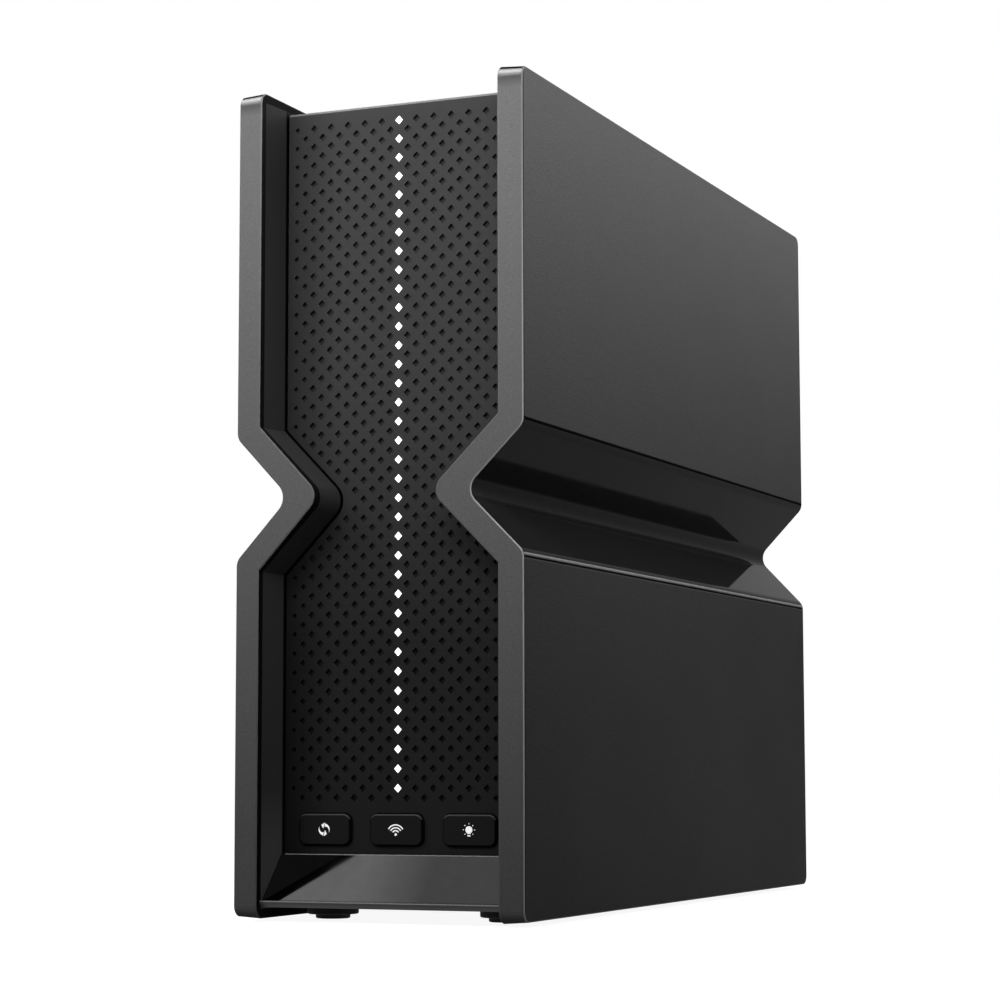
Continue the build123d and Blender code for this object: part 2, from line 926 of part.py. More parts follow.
def coax_connector():
    """Coaxial barrel with its hexagon nut outside the panel, bored for the insulator."""
    x, z = coax_axis()
    mouth = rear_face + coax_reach
    barrel = rod_y(coax_radius, x, z, panel_inside - frame_fit, mouth)
    hexagon = RegularPolygon(coax_nut_flats / 2, 6, major_radius=False)
    nut = slab(Pos(x, z) * hexagon, rear_face, rear_face + coax_nut_thickness)
    return barrel + nut - rod_y(insulator_radius, x, z, mouth - insulator_depth, mouth)


def coax_insulator():
    """Insulator inside the barrel with the hole for the cable's centre wire."""
    x, z = coax_axis()
    mouth = rear_face + coax_reach
    radius = insulator_radius - trim_bond_gap
    body = rod_y(radius, x, z, mouth - insulator_depth, mouth - insulator_recess)
    return body - rod_y(contact_hole_radius, x, z, mouth - insulator_depth / 2, mouth)


def power_inlet():
    """Power inlet with a round bore and its centre pin."""
    x, z = inlet_limits()
    mouth = rear_face + port_proud
    centre = (sum(x) / 2, sum(z) / 2)
    inlet = block(x, (mouth - inlet_length, mouth), z)
    inlet -= rod_y(inlet_bore_radius, *centre, mouth - inlet_bore_depth, mouth)
    return inlet + rod_y(inlet_pin_radius, *centre, mouth - inlet_bore_depth, mouth - inlet_pin_recess)


def usb_port():
    """USB port: a thin shell open to the rear with its contact tongue."""
    x, z = usb_limits()
    mouth = rear_face + port_proud
    port = block(x, (mouth - usb_length, mouth), z)
    inside = grown(x, -usb_wall)
    port -= block(inside, (mouth - usb_depth, mouth), grown(z, -usb_wall))
    tongue = (inside[1] - usb_wall - usb_tongue, inside[1] - usb_wall)
    return port + block(tongue, (mouth - usb_depth, mouth - usb_wall), grown(z, -usb_wall * 3))


def power_switch():
    """Push switch behind the power button."""
    x, z = power_axis()
    front = panel_inside - running_gap - button_flange_thickness - power_travel - running_gap
    half = power_switch_size / 2
    return block((x - half, -board_face), (front - power_switch_length, front), (z - half, z + half))


def power_button():
    """Round rear button with a flange behind the panel."""
    x, z = power_axis()
    flange_rear = panel_inside - running_gap
    cap = rod_y(power_radius, x, z, flange_rear, rear_face + power_proud)
    cap = fillet(cap.edges().sort_by(Axis.Y)[-1], button_edge_radius)
    flange_front = flange_rear - button_flange_thickness
    return cap + rod_y(power_offset - running_gap, x, z, flange_front, flange_rear)


def reset_switch():
    """Small switch behind the reset pin."""
    x, z = reset_axis()
    front = panel_inside - reset_travel - running_gap * 2 - button_flange_thickness
    half = reset_offset - running_gap
    return block((x - half, -board_face), (front - reset_switch_length, front), (z - half, z + half))


def reset_pin():
    """Recessed pin pressed through the small hole in the rear panel."""
    x, z = reset_axis()
    flange_rear = panel_inside - running_gap
    pin = rod_y(reset_radius, x, z, flange_rear, rear_face - reset_radius)
    flange = reset_hole_radius + running_gap * 2
    return pin + rod_y(flange, x, z, flange_rear - button_flange_thickness, flange_rear)


# Front buttons ---------------------------------------------------------------------------


def front_button(x):
    """Rounded key with a flange behind the fascia and a stem towards its switch."""
    face = fascia_front - button_proud
    flange_front = fascia_back + running_gap
    flange_back = flange_front + button_flange_thickness
    outline = RectangleRounded(button_width, button_height, button_corner)
    key = slab(Pos(x, button_z) * outline, face, flange_front)
    key = fillet(key.faces().sort_by(Axis.Y)[0].edges(), button_edge_radius)
    flange = RectangleRounded(
        button_width + 2 * button_flange_side, button_height + 2 * button_flange_rise, button_corner
    )
    key += slab(Pos(x, button_z) * flange, flange_front, flange_back)
    return key + rod_y(stem_radius, x, button_z, flange_back, flange_back + stem_length)


def button_board():
    """Board behind the three front buttons, held by the fascia's two posts."""
    half = button_pitch + button_board_overhang
    back = button_board_front + button_board_thickness
    low = button_z - switch_size
    high = button_z + button_post_rise + button_post_radius
    return block((-half, half), (button_board_front, back), (low, high))


def front_switches():
    """Three push switches on the button board."""
    half = switch_size / 2
    body_front = button_board_front - switch_height
    switches = []
    for x in button_centres():
        body = block(
            (x - half, x + half), (body_front, button_board_front), (button_z - half, button_z + half)
        )
        switches.append(body + rod_y(plunger_radius, x, button_z, plunger_front, body_front))
    return switches


def assembly():
    """Every node of the product by name."""
    right_shell = side_shell()
    right_trim = groove_trim()
    right_liner = inner_liner()
    left_x, middle_x, right_x = button_centres()
    return {
        "right_side_shell": right_shell,
        "left_side_shell": left_of(right_shell),
        "right_groove_trim": right_trim,
        "left_groove_trim": left_of(right_trim),
        "right_inner_liner": right_liner,
        "left_inner_liner": left_of(right_liner),
        "front_fascia": front_fascia(),
        "light_guide": light_guide(),
        "light_board": light_board(),
        "light_emitters": light_emitters(),
        "sill_plate": sill_plate(),
        "base_tray": base_tray(),
        "rubber_feet": rubber_feet(),
        "base_screws": base_screws(),
        "top_vent_cover": top_vent_cover(),
        "rear_panel": rear_panel(),
        "rear_screws": rear_screws(),
        "board_frame": board_frame(),
        "main_board": main_board(),
        "shield_cans": shield_cans(),
        "thermal_pads": thermal_pads(),
        "right_heat_sink": heat_sink(can_height + pad_thickness, right_sink_reach),
        "left_heat_sink": left_of(heat_sink(pad_thickness, left_sink_reach)),
        "antenna_boards": antenna_boards(),
        "ethernet_jacks": ethernet_jacks(),
        "tuner_can": tuner_can(),
        "coax_connector": coax_connector(),
        "coax_insulator": coax_insulator(),
        "power_inlet": power_inlet(),
        "usb_port": usb_port(),
        "power_switch": power_switch(),
        "power_button": power_button(),
        "reset_switch": reset_switch(),
        "reset_pin": reset_pin(),
        "pairing_button": front_button(left_x),
        "wireless_button": front_button(middle_x),
        "light_button": front_button(right_x),
        "button_board": button_board(),
        "front_switches": front_switches(),
    }


def write_parts():
    """Write one STEP file for each node."""
    os.makedirs("parts", exist_ok=True)
    for name, shape in assembly().items():
        solids = shape if isinstance(shape, list) else [shape]
        parts = [solid for item in solids for solid in item.solids()]
        whole = parts[0] if len(parts) == 1 else Compound(children=parts)
        export_step(whole, f"parts/{name}.step")
        print(name, len(parts))


write_parts()
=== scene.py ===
import math

import bpy
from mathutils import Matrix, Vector


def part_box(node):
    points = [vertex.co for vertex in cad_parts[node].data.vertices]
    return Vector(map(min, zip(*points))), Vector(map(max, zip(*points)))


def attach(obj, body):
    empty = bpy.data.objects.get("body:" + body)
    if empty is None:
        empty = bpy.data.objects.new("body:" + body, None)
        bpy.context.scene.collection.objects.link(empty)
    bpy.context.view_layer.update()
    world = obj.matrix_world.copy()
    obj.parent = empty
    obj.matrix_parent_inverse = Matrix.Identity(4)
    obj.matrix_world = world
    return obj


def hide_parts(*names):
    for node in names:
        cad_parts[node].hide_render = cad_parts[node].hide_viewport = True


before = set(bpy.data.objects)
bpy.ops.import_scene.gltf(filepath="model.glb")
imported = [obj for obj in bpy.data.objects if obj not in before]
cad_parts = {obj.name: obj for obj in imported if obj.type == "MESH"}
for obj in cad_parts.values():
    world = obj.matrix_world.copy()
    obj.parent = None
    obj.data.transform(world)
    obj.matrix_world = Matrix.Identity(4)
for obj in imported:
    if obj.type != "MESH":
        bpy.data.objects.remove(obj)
for leftover in ("Cube", "Light", "Camera"):  # what a new file starts with
    if leftover in bpy.data.objects:
        bpy.data.objects.remove(bpy.data.objects[leftover])
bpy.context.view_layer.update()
mm = 0.001  # metres in a millimetre: sizes in the dictionaries are in millimetres
print("stage: frame loaded,", len(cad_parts), "nodes")


# Working helpers

def letGo():
    if bpy.context.object is not None and bpy.context.object.mode != "OBJECT":
        bpy.ops.object.mode_set(mode="OBJECT")
    bpy.ops.object.select_all(action="DESELECT")


def takeUp(*pieces):
    letGo()
    for piece in pieces:
        piece.select_set(True)
    bpy.context.view_layer.objects.active = pieces[0]
    return pieces[0]


def named(name):
    piece = bpy.context.object
    piece.name = name
    piece.data.name = name
    return piece


def settle(piece):
    takeUp(piece)
    bpy.ops.object.transform_apply(location=True, rotation=True, scale=True)


def applyAll(piece):
    takeUp(piece)
    for modifier in list(piece.modifiers):
        bpy.ops.object.modifier_apply(modifier=modifier.name)


def editPicked(piece, kind, test):
    takeUp(piece)
    mesh = piece.data
    for group in (mesh.vertices, mesh.edges, mesh.polygons):
        for part in group:
            part.select = False
    if kind == "VERT":
        for vertex in mesh.vertices:
            vertex.select = test(vertex.co)
    if kind == "EDGE":
        for edge in mesh.edges:
            edge.select = test(*[mesh.vertices[index].co for index in edge.vertices])
    if kind == "FACE":
        for face in mesh.polygons:
            face.select = test(face.center, face.normal)
    bpy.ops.object.mode_set(mode="EDIT")
    bpy.ops.mesh.select_mode(type=kind)


def doneEditing():
    bpy.ops.object.mode_set(mode="OBJECT")


# Finishes

def startFinish(name):
    finish = bpy.data.materials.new(name)
    finish.use_nodes = True
    nodes = finish.node_tree.nodes
    return finish, nodes, finish.node_tree.links, nodes["Principled BSDF"]


def place(nodes, links, stretch=(1, 1, 1), turn=(0, 0, 0)):
    where = nodes.new("ShaderNodeTexCoord")
    mapping = nodes.new("ShaderNodeMapping")
    mapping.inputs["Scale"].default_value = stretch
    mapping.inputs["Rotation"].default_value = turn
    links.new(where.outputs["Object"], mapping.inputs["Vector"])
    return mapping.outputs["Vector"]


def noise(nodes, links, where, size, detail=2.0, rough=0.5):
    grain = nodes.new("ShaderNodeTexNoise")
    grain.inputs["Scale"].default_value = 1 / size
    grain.inputs["Detail"].default_value = detail
    grain.inputs["Roughness"].default_value = rough
    links.new(where, grain.inputs["Vector"])
    return grain.outputs["Fac"]


def spread(nodes, links, value, low, high, fromLow=0.3, fromHigh=0.7):
    mapped = nodes.new("ShaderNodeMapRange")
    mapped.inputs["From Min"].default_value = fromLow
    mapped.inputs["From Max"].default_value = fromHigh
    mapped.inputs["To Min"].default_value = low
    mapped.inputs["To Max"].default_value = high
    links.new(value, mapped.inputs["Value"])
    return mapped.outputs["Result"]


def blendColour(nodes, links, factor, first, second):
    mix = nodes.new("ShaderNodeMix")
    mix.data_type = "RGBA"
    for socket, value in (("A", first), ("B", second)):
        inlet = [s for s in mix.inputs if s.name == socket and s.type == "RGBA"][0]
        if isinstance(value, (tuple, list)):
            inlet.default_value = (*value, 1)
        else:
            links.new(value, inlet)
    links.new(factor, mix.inputs["Factor"])
    return [s for s in mix.outputs if s.type == "RGBA"][0]


def addBump(nodes, links, shader, height, depth, strength):
    bump = nodes.new("ShaderNodeBump")
    bump.inputs["Distance"].default_value = depth
    bump.inputs["Strength"].default_value = strength
    links.new(height, bump.inputs["Height"])
    links.new(bump.outputs["Normal"], shader.inputs["Normal"])


def calculate(nodes, links, operation, *values):
    step = nodes.new("ShaderNodeMath")
    step.operation = operation
    for inlet, value in zip(step.inputs, values):
        if isinstance(value, (int, float)):
            inlet.default_value = value
        else:
            links.new(value, inlet)
    return step.outputs["Value"]


def product(nodes, links, *masks):
    result = masks[0]
    for mask in masks[1:]:
        result = calculate(nodes, links, "MULTIPLY", result, mask)
    return result


def components(nodes, links, vector):
    apart = nodes.new("ShaderNodeSeparateXYZ")
    links.new(vector, apart.inputs["Vector"])
    return dict(zip("xyz", apart.outputs))


def lighter(colour, share):
    return tuple(part * (1 + share) for part in colour)


def grey(level):
    return level, level, level


# A painted shade is an axis, where it starts and stops in millimetres, and how bright it is at each: light and
# shade painted into the colour along that axis
def paintShadingAlong(nodes, links, colour, where, shade):
    axis, start, stop, first, last = shade
    along = components(nodes, links, where)[axis.strip("|")]
    if axis.startswith("|"):  # the same at both ends
        along = calculate(nodes, links, "ABSOLUTE", along)
    level = spread(nodes, links, along, first, last, start * mm, stop * mm)
    scaled = nodes.new("ShaderNodeVectorMath")
    scaled.operation = "SCALE"
    links.new(colour, scaled.inputs[0])
    links.new(level, scaled.inputs["Scale"])
    return scaled.outputs["Vector"]


# Painted highlights and painted shade on the lines and rims of a side shell, found by how its faces lie: 1 is
# straight along an axis, 0 is across it
facing = {"side": 0.9, "front": 0.95, "partlyFront": 0.3, "notFront": 0.35, "inward": -0.3, "notSide": 0.3,
          "slant": 0.61, "slantRange": 0.26, "cornerFront": 0.2}
# Where a corner's painted highlight rises, where it falls and where a painted dark line follows, by how far it
# faces up
cornerLight = {"rise": (0.08, 0.42), "fall": (0.5, 0.7), "line": (0.62, 0.74)}


def shellPaintedLight(nodes, links, colour, look):
    face = nodes.new("ShaderNodeNewGeometry")
    flat = components(nodes, links, face.outputs["True Normal"])
    smooth = components(nodes, links, face.outputs["Normal"])
    spot = components(nodes, links, place(nodes, links))
    sideways, lengthways = [calculate(nodes, links, "ABSOLUTE", flat[axis]) for axis in "xy"]
    inward = calculate(nodes, links, "MULTIPLY", flat["x"], calculate(nodes, links, "SIGN", spot["x"]))
    rise = calculate(nodes, links, "SUBTRACT", spot["z"], look["middle"] * mm)
    away = calculate(nodes, links, "ABSOLUTE", rise)
    reach = calculate(nodes, links, "ABSOLUTE", spot["y"])

    def both(*masks):
        return product(nodes, links, *masks)

    def over(value, limit):
        return calculate(nodes, links, "GREATER_THAN", value, limit)

    def under(value, limit):
        return calculate(nodes, links, "LESS_THAN", value, limit)

    def within(value, low, high):
        return calculate(nodes, links, "COMPARE", value, (low + high) / 2 * mm, (high - low) / 2 * mm)

    def paint(where, shade):
        return blendColour(nodes, links, where, colour, shade)

    outside = over(sideways, facing["side"])
    onFronts = over(lengthways, facing["partlyFront"])
    flatFront = over(lengthways, facing["front"])
    facesIn = under(inward, facing["inward"])
    facesOut = over(inward, 0)
    notFront = under(lengthways, facing["notFront"])
    rightHalf = over(spot["x"], 0)
    top = look["top"] - look["middle"]

    # painted shade: the flat fronts of the bands darken just under the top
    dipStart, dipStop = [(top - drop) * mm for drop in look["dipDrops"]]  # the bands darken near the top
    dipShade = both(flatFront, spread(nodes, links, rise, 0, look["dipShade"], dipStart, dipStop))
    colour = paint(dipShade, look["dipShadeColour"])
    # painted shade: the rims facing inwards, into the recess, are painted near black
    colour = paint(both(facesIn, notFront), look["rimShade"])

    # painted highlight on the rounded top corners, and a painted dark line where they turn up
    rounding = both(under(sideways, facing["notSide"]), over(rise, (top - look["cornerDrop"]) * mm))
    glint = spread(nodes, links, smooth["z"], 0, 1, *cornerLight["rise"])
    fall = spread(nodes, links, smooth["z"], 1, 0, *cornerLight["fall"])
    colour = paint(both(rounding, both(glint, fall)), look["cornerHighlight"])
    upturned = spread(nodes, links, smooth["z"], 0, 1, *cornerLight["line"])
    colour = paint(both(rounding, over(lengthways, facing["cornerFront"]), upturned), look["lineShade"])

    # painted highlights on the chamfers: on the right shell, brighter low down, and dimmer ones on the inward
    # chamfers
    atEnds = over(away, look["endsFrom"] * mm)
    slanted = calculate(nodes, links, "COMPARE", sideways, facing["slant"], facing["slantRange"])
    chamfer = both(slanted, calculate(nodes, links, "MAXIMUM", atEnds, onFronts))
    fade = spread(nodes, links, spot["z"], 0, 1, *[height * mm for height in look["highlightFade"]])
    edge = blendColour(nodes, links, fade, look["chamferHighlight"], look["chamferTopHighlight"])
    colour = paint(both(chamfer, rightHalf), edge)
    colour = paint(both(chamfer, facesIn), look["innerChamferHighlight"])

    # painted shade: a dark strip down the front of the right side face
    frontStrip = over(reach, (look["front"] - look["stripWidth"]) * mm)
    colour = paint(both(outside, rightHalf, frontStrip), look["rimShade"])
    # painted highlight: a bright strip just under the groove's lower lip
    lip = look["lip"]
    lowLip = both(outside, within(rise, -lip - look["lipLine"], -lip))
    colour = paint(lowLip, look["lipHighlight"])
    # painted shadow: the seat along the upper lip is painted black
    seatTop = lip + look["lipLine"]
    seatShadow = both(within(rise, seatTop - look["seatDepth"], seatTop), notFront, facesOut)
    return paint(seatShadow, look["lineShade"])


keyFacing = {"front": -0.5, "frontRange": 0.44, "up": 0.25}  # how far the rounded rim of a key leans


# Painted light on a key's rounded rim: a painted highlight along the top, painted shade on the other sides
def keyPaintedLight(nodes, links, colour, look):
    face = nodes.new("ShaderNodeNewGeometry")
    flat = components(nodes, links, face.outputs["True Normal"])
    rounded = calculate(nodes, links, "COMPARE", flat["y"], keyFacing["front"], keyFacing["frontRange"])
    colour = blendColour(nodes, links, rounded, colour, look["keyRimShade"])
    upper = calculate(nodes, links, "GREATER_THAN", flat["z"], keyFacing["up"])
    return blendColour(nodes, links, product(nodes, links, rounded, upper), colour, look["keyTopHighlight"])


def flankGrain(nodes, links, colour, grain, look):
    coarse = lighter(look["colour"], -look["sideSpeckle"])
    bright = lighter(look["colour"], look["sideSpeckle"])
    face = nodes.new("ShaderNodeNewGeometry")
    sideways = components(nodes, links, face.outputs["True Normal"])["x"]
    sideways = calculate(nodes, links, "ABSOLUTE", sideways)
    flank = calculate(nodes, links, "GREATER_THAN", sideways, facing["side"])
    salt = blendColour(nodes, links, spread(nodes, links, grain, 0, 1), coarse, bright)
    return blendColour(nodes, links, flank, colour, salt)


def roughness(nodes, links, pattern, look):
    low, high = look["rough"] - look["roughVar"], look["rough"] + look["roughVar"]
    return spread(nodes, links, pattern, low, high)


def mouldedFinish(name, look):
    finish, nodes, links, shader = startFinish(name)
    where = place(nodes, links)
    grain = noise(nodes, links, where, look["grain"] * mm, detail=3)
    cloud = noise(nodes, links, where, look["cloud"] * mm, detail=2)
    dark = lighter(look["colour"], -look["speckle"])
    light = lighter(look["colour"], look["speckle"])
    colour = blendColour(nodes, links, spread(nodes, links, grain, 0, 1), dark, light)
    # painted light and shade along the axes that the look lists
    for shade in look.get("paintedShading", ()):
        colour = paintShadingAlong(nodes, links, colour, where, shade)
    if "keyTopHighlight" in look:
        colour = keyPaintedLight(nodes, links, colour, look)
    if "chamferHighlight" in look:
        colour = flankGrain(nodes, links, colour, grain, look)
        colour = shellPaintedLight(nodes, links, colour, look)
    links.new(colour, shader.inputs["Base Color"])
    links.new(roughness(nodes, links, cloud, look), shader.inputs["Roughness"])
    shader.inputs["Metallic"].default_value = look.get("metallic", 0)
    shader.inputs["Specular IOR Level"].default_value = look.get("specular", 0.5)
    addBump(nodes, links, shader, grain, look["grainDepth"] * mm, 0.5)
    return finish


bandWidth = math.pi / 10  # of one band of a wave texture at scale 1


def threadRidges(nodes, links, look):
    turns = nodes.new("ShaderNodeTexWave")
    turns.bands_direction = "Y"
    turns.inputs["Scale"].default_value = bandWidth / (look["thread"] * mm)
    links.new(place(nodes, links), turns.inputs["Vector"])
    along = components(nodes, links, place(nodes, links))["y"]
    beyondNut = calculate(nodes, links, "GREATER_THAN", along, look["threadFrom"] * mm)
    return product(nodes, links, turns.outputs["Fac"], beyondNut, look["ridge"])


def brushedFinish(name, look):
    finish, nodes, links, shader = startFinish(name)
    where = place(nodes, links, look["stretch"])
    streak = noise(nodes, links, where, look["grain"] * mm, detail=4, rough=0.6)
    if "thread" in look:
        streak = calculate(nodes, links, "ADD", streak, threadRidges(nodes, links, look))
    blotch = noise(nodes, links, place(nodes, links), look["cloud"] * mm, detail=2)
    dark = lighter(look["colour"], -look["speckle"])
    colour = blendColour(nodes, links, spread(nodes, links, blotch, 0, 1), dark, look["colour"])
    links.new(colour, shader.inputs["Base Color"])
    links.new(roughness(nodes, links, streak, look), shader.inputs["Roughness"])
    shader.inputs["Metallic"].default_value = 1
    addBump(nodes, links, shader, streak, look["grainDepth"] * mm, 0.3)
    return finish


def boardFinish(name, look):
    finish, nodes, links, shader = startFinish(name)
    where = place(nodes, links, turn=(0, math.pi / 2, 0))  # the boards stand upright, across X
    tracks = nodes.new("ShaderNodeTexBrick")
    tracks.inputs["Scale"].default_value = 1 / (look["pitch"] * mm)
    tracks.inputs["Mortar Size"].default_value = look["trackWidth"]
    tracks.inputs["Color1"].default_value = (*look["colour"], 1)
    tracks.inputs["Color2"].default_value = (*lighter(look["colour"], -look["patchShade"]), 1)
    tracks.inputs["Mortar"].default_value = (*look["track"], 1)
    links.new(where, tracks.inputs["Vector"])
    links.new(tracks.outputs["Color"], shader.inputs["Base Color"])
    weave = noise(nodes, links, where, look["weave"] * mm)
    links.new(roughness(nodes, links, weave, look), shader.inputs["Roughness"])
    addBump(nodes, links, shader, tracks.outputs["Fac"], look["trackDepth"] * mm, 0.4)
    return finish


# The glow of each light fades towards its diamond window
def windowFade(nodes, links, colour, look):
    spot = components(nodes, links, place(nodes, links))
    half = look["pitch"] / 2 * mm
    drop = calculate(nodes, links, "SUBTRACT", spot["z"], look["first"] * mm)
    drop = calculate(nodes, links, "WRAP", drop, half, -half)
    drop = calculate(nodes, links, "ABSOLUTE", drop)
    drop = calculate(nodes, links, "MULTIPLY", drop, look["squash"])
    across = calculate(nodes, links, "ABSOLUTE", spot["x"])
    across = calculate(nodes, links, "ADD", across, drop)
    glow = spread(nodes, links, across, 1, 0, look["full"] * mm, look["edge"] * mm)
    return blendColour(nodes, links, glow, look["unlit"], colour)


def lampFinish(name, look):
    finish, nodes, links, shader = startFinish(name)
    haze = noise(nodes, links, place(nodes, links), look["grain"] * mm)
    light = tuple(min(1, part) for part in lighter(look["colour"], look["haze"]))
    shade = blendColour(nodes, links, spread(nodes, links, haze, 0, 1), look["colour"], light)
    if "pitch" in look:
        shade = windowFade(nodes, links, shade, look)
    links.new(shade, shader.inputs["Base Color"])
    links.new(shade, shader.inputs["Emission Color"])
    shader.inputs["Emission Strength"].default_value = look["strength"]
    shader.inputs["Roughness"].default_value = look["rough"]
    return finish


# Places that the looks and the pieces share
lightColumn = {"count": 36, "margin": 3.0}  # margin: the guide runs on this far past its end lights
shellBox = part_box("right_side_shell")
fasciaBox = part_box("front_fascia")
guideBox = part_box("light_guide")
waist = (shellBox[0].z + shellBox[1].z) / 2  # height of the groove
lightTop = guideBox[1].z - lightColumn["margin"] * mm
lightRun = guideBox[1].z - guideBox[0].z - 2 * lightColumn["margin"] * mm
lightPitch = lightRun / (lightColumn["count"] - 1)
baseLipRise = 5.6  # from the shells' foot to the top of the base tray's front lip

# The same places in millimetres, for the looks
middle = waist / mm
fasciaFront = fasciaBox[0].y / mm
fasciaTop = fasciaBox[1].z / mm
lipTop = shellBox[0].z / mm + baseLipRise
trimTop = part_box("right_groove_trim")[1].z / mm
trimLow = 2 * middle - trimTop
shellFront = -shellBox[0].y / mm

# the shell's look paints light: dark rims, dark lines and a darkening under the top are painted shade; bright
# corners, chamfers and the lip strip are painted highlights
shellLook = {"colour": grey(0.0525), "grain": 0.32, "speckle": 0.2, "sideSpeckle": 0.45, "cloud": 30,
             "rough": 0.5, "roughVar": 0.04, "specular": 0.003, "grainDepth": 0.02,
             "middle": middle, "top": shellBox[1].z / mm, "front": shellFront,
             "rimShade": grey(0.0045), "lineShade": grey(0.001), "cornerHighlight": grey(0.165),
             "chamferHighlight": (0.22, 0.22, 0.21), "chamferTopHighlight": (0.075, 0.075, 0.072),
             "innerChamferHighlight": grey(0.07), "highlightFade": (90, 240), "endsFrom": 125,
             "dipShade": 0.9, "dipShadeColour": grey(0.03), "dipDrops": (7.5, 4.6), "cornerDrop": 4.4,
             "stripWidth": 2.8, "lip": trimTop - middle + 0.6, "lipLine": 0.35, "lipHighlight": grey(0.09),
             "seatDepth": 4}
# painted highlight: a bright band just above the trim's lower edge, fading towards the edge
grooveLook = {"colour": grey(0.0105), "grain": 4, "speckle": 0.1, "cloud": 12, "rough": 0.07,
              "roughVar": 0.02, "specular": 0.004, "grainDepth": 0.002,
              "paintedShading": [("z", trimLow + 1.0, trimLow + 1.05, 22, 1.0),
                         ("z", trimLow, trimLow + 0.75, 0.12, 1.3)]}
# painted light: the liner is lighter towards the bottom; painted shadow: near black in the gap at the fascia's
# front
linerLook = {"colour": grey(0.018), "grain": 0.3, "speckle": 0.15, "cloud": 20, "rough": 0.45,
             "roughVar": 0.05, "specular": 0.05, "grainDepth": 0.015,
             "paintedShading": [("z", 42, 250, 1.9, 0.56), ("z", 24, 42, 1.9, 1.0),
                        ("|y|", -fasciaFront + 0.7, -fasciaFront + 1.2, 0.03, 1.0)]}
# painted light and shade: darker towards the bottom and near the left side, pit floors painted darker, and a
# painted highlight along the top edge
fasciaLook = {"colour": grey(0.015), "grain": 0.3, "speckle": 0.16, "cloud": 20, "rough": 0.5,
              "roughVar": 0.04, "specular": 0.05, "grainDepth": 0.015,
              "paintedShading": [("z", 85, 155, 0.5, 1.08), ("y", fasciaFront + 0.7, fasciaFront + 0.8, 1.0, 0.64),
                         ("z", fasciaTop - 1.0, fasciaTop - 0.8, 1.0, 5.0), ("x", -39, -22, 0.6, 1.0)]}
# painted reflection: the sill darkens towards the right; painted shade: darker at its foot
sillLook = {"colour": grey(0.1), "grain": 4, "speckle": 0.05, "cloud": 12, "rough": 0.06,
            "roughVar": 0.02, "metallic": 1.0, "grainDepth": 0.002,
            "paintedShading": [("x", -8, 14, 1.15, 0.53), ("z", lipTop + 0.3, lipTop + 0.35, 0.7, 1.0)]}
# painted highlight: the base is brightened from just under the top of its front lip upwards
baseLook = {"colour": grey(0.02), "grain": 0.5, "speckle": 0.15, "cloud": 20, "rough": 0.5,
            "roughVar": 0.05, "specular": 0.3, "grainDepth": 0.03,
            "paintedShading": [("z", lipTop - 0.35, lipTop - 0.3, 1.0, 7.5)]}
# the keys' rims carry painted light: a painted highlight on top, painted shade on the other sides
buttonLook = {"colour": grey(0.005), "grain": 0.3, "speckle": 0.1, "cloud": 6, "rough": 0.35,
              "roughVar": 0.04, "specular": 0.05, "grainDepth": 0.01, "keyTopHighlight": grey(0.04),
              "keyRimShade": grey(0.0005)}
# the bead's light grey stands in as a painted highlight
beadHighlightLook = {"colour": grey(0.2), "grain": 0.3, "speckle": 0.1, "cloud": 6, "rough": 0.4,
            "roughVar": 0.04, "specular": 0.1, "grainDepth": 0.005}
rubberLook = {"colour": grey(0.012), "grain": 0.6, "speckle": 0.2, "cloud": 5, "rough": 0.8,
              "roughVar": 0.08, "specular": 0.2, "grainDepth": 0.05}
connectorLook = {"colour": (0.014, 0.014, 0.015), "grain": 0.5, "speckle": 0.1, "cloud": 5, "rough": 0.4,
                 "roughVar": 0.05, "specular": 0.4, "grainDepth": 0.01}
frameLook = {"colour": (0.03, 0.03, 0.032), "grain": 0.5, "speckle": 0.1, "cloud": 10, "rough": 0.5,
             "roughVar": 0.05, "specular": 0.3, "grainDepth": 0.02}
padLook = {"colour": (0.35, 0.5, 0.62), "grain": 0.8, "speckle": 0.1, "cloud": 5, "rough": 0.7,
           "roughVar": 0.05, "specular": 0.3, "grainDepth": 0.03}
whiteLook = {"colour": (0.75, 0.74, 0.7), "grain": 0.6, "speckle": 0.05, "cloud": 5, "rough": 0.4,
             "roughVar": 0.05, "specular": 0.4, "grainDepth": 0.01}
# the screw crosses' dark grey is painted shade
recessShadowLook = {"colour": grey(0.06), "grain": 0.3, "speckle": 0.2, "cloud": 2, "rough": 0.5,
              "roughVar": 0.05, "specular": 0.3, "grainDepth": 0.01}

steelLook = {"colour": grey(0.5), "grain": 0.4, "speckle": 0.15, "cloud": 2, "rough": 0.35,
             "roughVar": 0.08, "grainDepth": 0.005, "stretch": (1, 1, 1)}
shieldLook = {"colour": (0.62, 0.62, 0.6), "grain": 0.5, "speckle": 0.1, "cloud": 8, "rough": 0.32,
              "roughVar": 0.08, "grainDepth": 0.005, "stretch": (1, 0.05, 1)}
sinkLook = {"colour": (0.55, 0.56, 0.57), "grain": 0.4, "speckle": 0.1, "cloud": 15, "rough": 0.4,
            "roughVar": 0.08, "grainDepth": 0.005, "stretch": (1, 1, 0.03)}
nickelLook = {"colour": (0.6, 0.57, 0.52), "grain": 0.4, "speckle": 0.12, "cloud": 3, "rough": 0.22,
              "roughVar": 0.06, "grainDepth": 0.003, "stretch": (1, 0.2, 1), "thread": 0.8, "ridge": 30,
              "threadFrom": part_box("rear_panel")[1].y / mm + 2.1}
giltLook = {"colour": (0.75, 0.55, 0.2), "grain": 0.3, "speckle": 0.15, "cloud": 1.5, "rough": 0.3,
            "roughVar": 0.06, "grainDepth": 0.003, "stretch": (1, 0.2, 1)}

